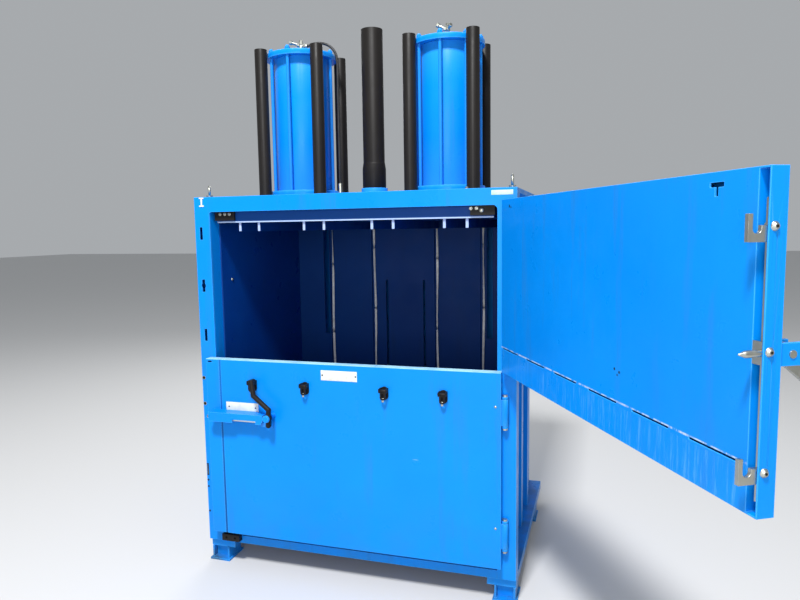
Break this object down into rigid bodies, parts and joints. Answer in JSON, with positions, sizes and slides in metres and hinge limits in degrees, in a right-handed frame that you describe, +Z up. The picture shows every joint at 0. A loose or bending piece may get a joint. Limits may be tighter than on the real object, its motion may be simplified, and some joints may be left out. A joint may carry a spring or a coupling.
{
  "type": "recycling baler",
  "caption": "Upright hydraulic baler with two press cylinders, guard tubes, a ribbed press plate, strap channels and two side-hinged front doors.",
  "frame": {"origin": "on the floor, in the middle of the four anchor holes", "axes": "+Z up, the doors face -Y, +X along the front to the hinge side"},
  "size_m": [2.3346, 2.4495, 2.547],
  "materials": {
    "blue_paint": "gloss",
    "worn_blue_paint": "worn",
    "black_paint": "satin",
    "black_rubber": "matte",
    "zinc_plate": "zinc plated",
    "bare_steel": "ground",
    "strap_fabric": "woven",
    "white_grip": "matte"
  },
  "bodies": {
    "frame": {"base_frame": "blue_paint", "foot_plates": "blue_paint", "chamber_floor": "worn_blue_paint", "sill_beam": "blue_paint", "front_frame": "blue_paint", "left_post": "blue_paint", "right_post": "blue_paint", "header_beam": "blue_paint", "left_wall": "blue_paint", "right_wall": "blue_paint", "side_ribs": "blue_paint", "rear_wall": "worn_blue_paint", "rear_posts": "blue_paint", "rear_cover": "blue_paint", "roof_plate": "blue_paint", "cylinder_heads": "blue_paint", "left_barrel": "blue_paint", "right_barrel": "blue_paint", "cylinder_caps": "blue_paint", "tie_rods": "blue_paint", "left_guard_tubes": "black_paint", "right_guard_tubes": "black_paint", "centre_guard_tube": "black_paint", "guide_collar": "blue_paint", "lifting_eyes": "zinc_plate", "hose_fittings": "zinc_plate", "left_hose": "black_rubber", "right_hose": "black_rubber", "keeper_pins": "zinc_plate", "hinge_lugs": "blue_paint", "hinge_pins": "zinc_plate", "door_rest_pad": "black_paint", "strap_guides": "black_paint", "strap_1": "strap_fabric", "strap_2": "strap_fabric", "strap_3": "strap_fabric", "strap_4": "strap_fabric"},
    "press": {"press_plate": "worn_blue_paint", "plate_bars": "blue_paint", "plate_pads": "black_paint", "piston_rods": "bare_steel", "guide_rods": "bare_steel"},
    "feed_door": {"upper_door": "blue_paint", "upper_knuckles": "blue_paint", "upper_door_bolts": "zinc_plate", "upper_handle_bracket": "blue_paint"},
    "feed_latch": {"upper_latch": "zinc_plate"},
    "feed_handle": {"upper_lever": "zinc_plate", "upper_grip": "white_grip"},
    "bale_door": {"lower_door": "blue_paint", "lower_knuckles": "blue_paint", "latch_cover": "blue_paint", "clamp_bodies": "black_paint"},
    "bale_latch": {"lower_latch": "zinc_plate"},
    "bale_pull_rod": {"lower_pull_rod": "zinc_plate"},
    "bale_handle": {"lower_lever": "black_paint"},
    "strap_clamp_1": {"clamp_lever_1": "black_paint"},
    "strap_clamp_2": {"clamp_lever_2": "black_paint"},
    "strap_clamp_3": {"clamp_lever_3": "black_paint"},
    "strap_clamp_4": {"clamp_lever_4": "black_paint"}
  },
  "joints": [
    {"name": "press_stroke", "type": "slide", "parent": "frame", "child": "press", "axis": [0, 0, -1], "range_m": [0, 0.56]},
    {"name": "feed_door_swing", "type": "hinge", "parent": "frame", "child": "feed_door", "pos_m": [0.7, -0.5075, 1.36], "axis": [0, 0, 1], "range_deg": [-119, 46]},
    {"name": "feed_handle_turn", "type": "hinge", "parent": "feed_door", "child": "feed_handle", "pos_m": [1.42077, -1.69952, 1.345], "axis": [-0.4848, 0.8746, 0], "range_deg": [0, 50]},
    {"name": "feed_latch_lift", "type": "slide", "parent": "feed_door", "child": "feed_latch", "axis": [0, 0, 1], "range_m": [0, 0.02]},
    {"name": "bale_door_swing", "type": "hinge", "parent": "frame", "child": "bale_door", "pos_m": [0.7, -0.5075, 0.59], "axis": [0, 0, 1], "range_deg": [0, 165]},
    {"name": "bale_handle_turn", "type": "hinge", "parent": "bale_door", "child": "bale_handle", "pos_m": [-0.35, -0.585, 0.766], "axis": [0, 1, 0], "range_deg": [0, 40]},
    {"name": "bale_rod_slide", "type": "slide", "parent": "bale_door", "child": "bale_pull_rod", "axis": [-1, 0, 0], "range_m": [0, 0.0212]},
    {"name": "bale_latch_lift", "type": "slide", "parent": "bale_door", "child": "bale_latch", "axis": [0, 0, 1], "range_m": [0, 0.02]},
    {"name": "strap_clamp_turn_1", "type": "hinge", "parent": "bale_door", "child": "strap_clamp_1", "pos_m": [-0.446, -0.552, 0.915], "axis": [-1, 0, 0], "range_deg": [0, 60]},
    {"name": "strap_clamp_turn_2", "type": "hinge", "parent": "bale_door", "child": "strap_clamp_2", "pos_m": [-0.186, -0.552, 0.915], "axis": [-1, 0, 0], "range_deg": [0, 60]},
    {"name": "strap_clamp_turn_3", "type": "hinge", "parent": "bale_door", "child": "strap_clamp_3", "pos_m": [0.186, -0.552, 0.915], "axis": [-1, 0, 0], "range_deg": [0, 60]},
    {"name": "strap_clamp_turn_4", "type": "hinge", "parent": "bale_door", "child": "strap_clamp_4", "pos_m": [0.446, -0.552, 0.915], "axis": [-1, 0, 0], "range_deg": [0, 60]}
  ],
  "couplings": [
    {"joint": "feed_latch_lift", "follows": "feed_handle_turn", "m_per_rad": 0.0229},
    {"joint": "bale_latch_lift", "follows": "bale_handle_turn", "m_per_rad": 0.0286},
    {"joint": "bale_rod_slide", "follows": "bale_handle_turn", "m_per_rad": 0.0303}
  ]
}
